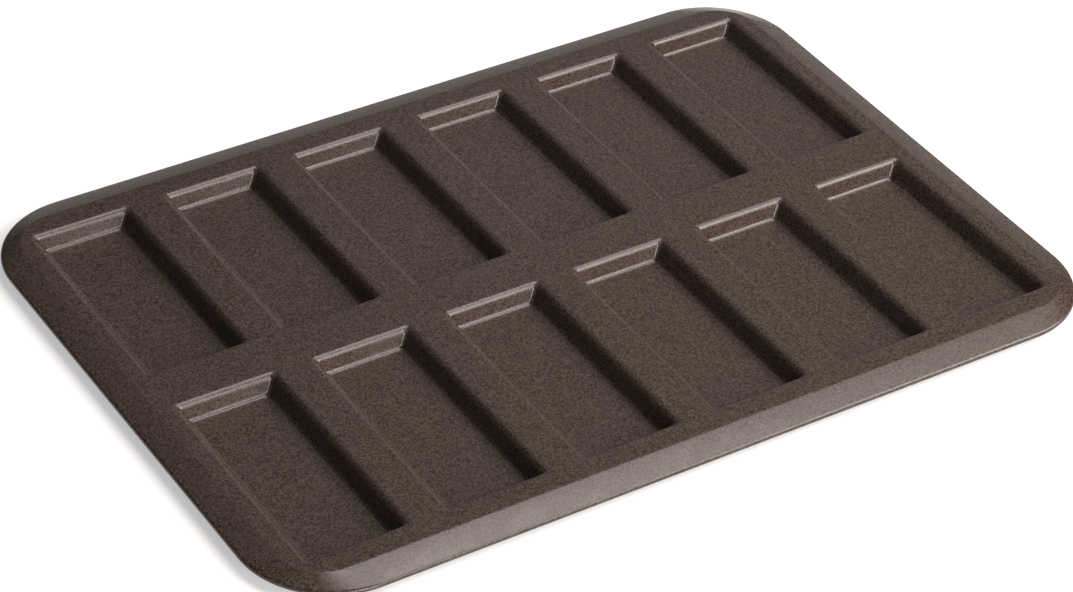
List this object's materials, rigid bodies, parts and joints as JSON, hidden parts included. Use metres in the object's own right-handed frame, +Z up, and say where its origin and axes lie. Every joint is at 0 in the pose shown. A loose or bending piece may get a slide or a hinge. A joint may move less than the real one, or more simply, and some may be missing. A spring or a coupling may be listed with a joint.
{
  "type": "baguette tray",
  "caption": "Shallow pressed-steel baking tray with a grid of oblong cavities for small baguettes, a sloping flange and a rolled, wire-stiffened edge.",
  "frame": {"origin": "under the middle of the tray, level with the undersides of the cavities, which it stands on", "axes": "+X along the long side, +Y along the short side and each cavity, +Z up out of the cavities"},
  "size_m": [0.382, 0.2694, 0.0084],
  "materials": {
    "coating": "dark brown-grey textured non-stick coating, matt, on pressed steel sheet",
    "wire": "plain drawn steel wire"
  },
  "bodies": {
    "root": {"tray_sheet": "coating", "rim_wire": "wire"}
  },
  "joints": []
}
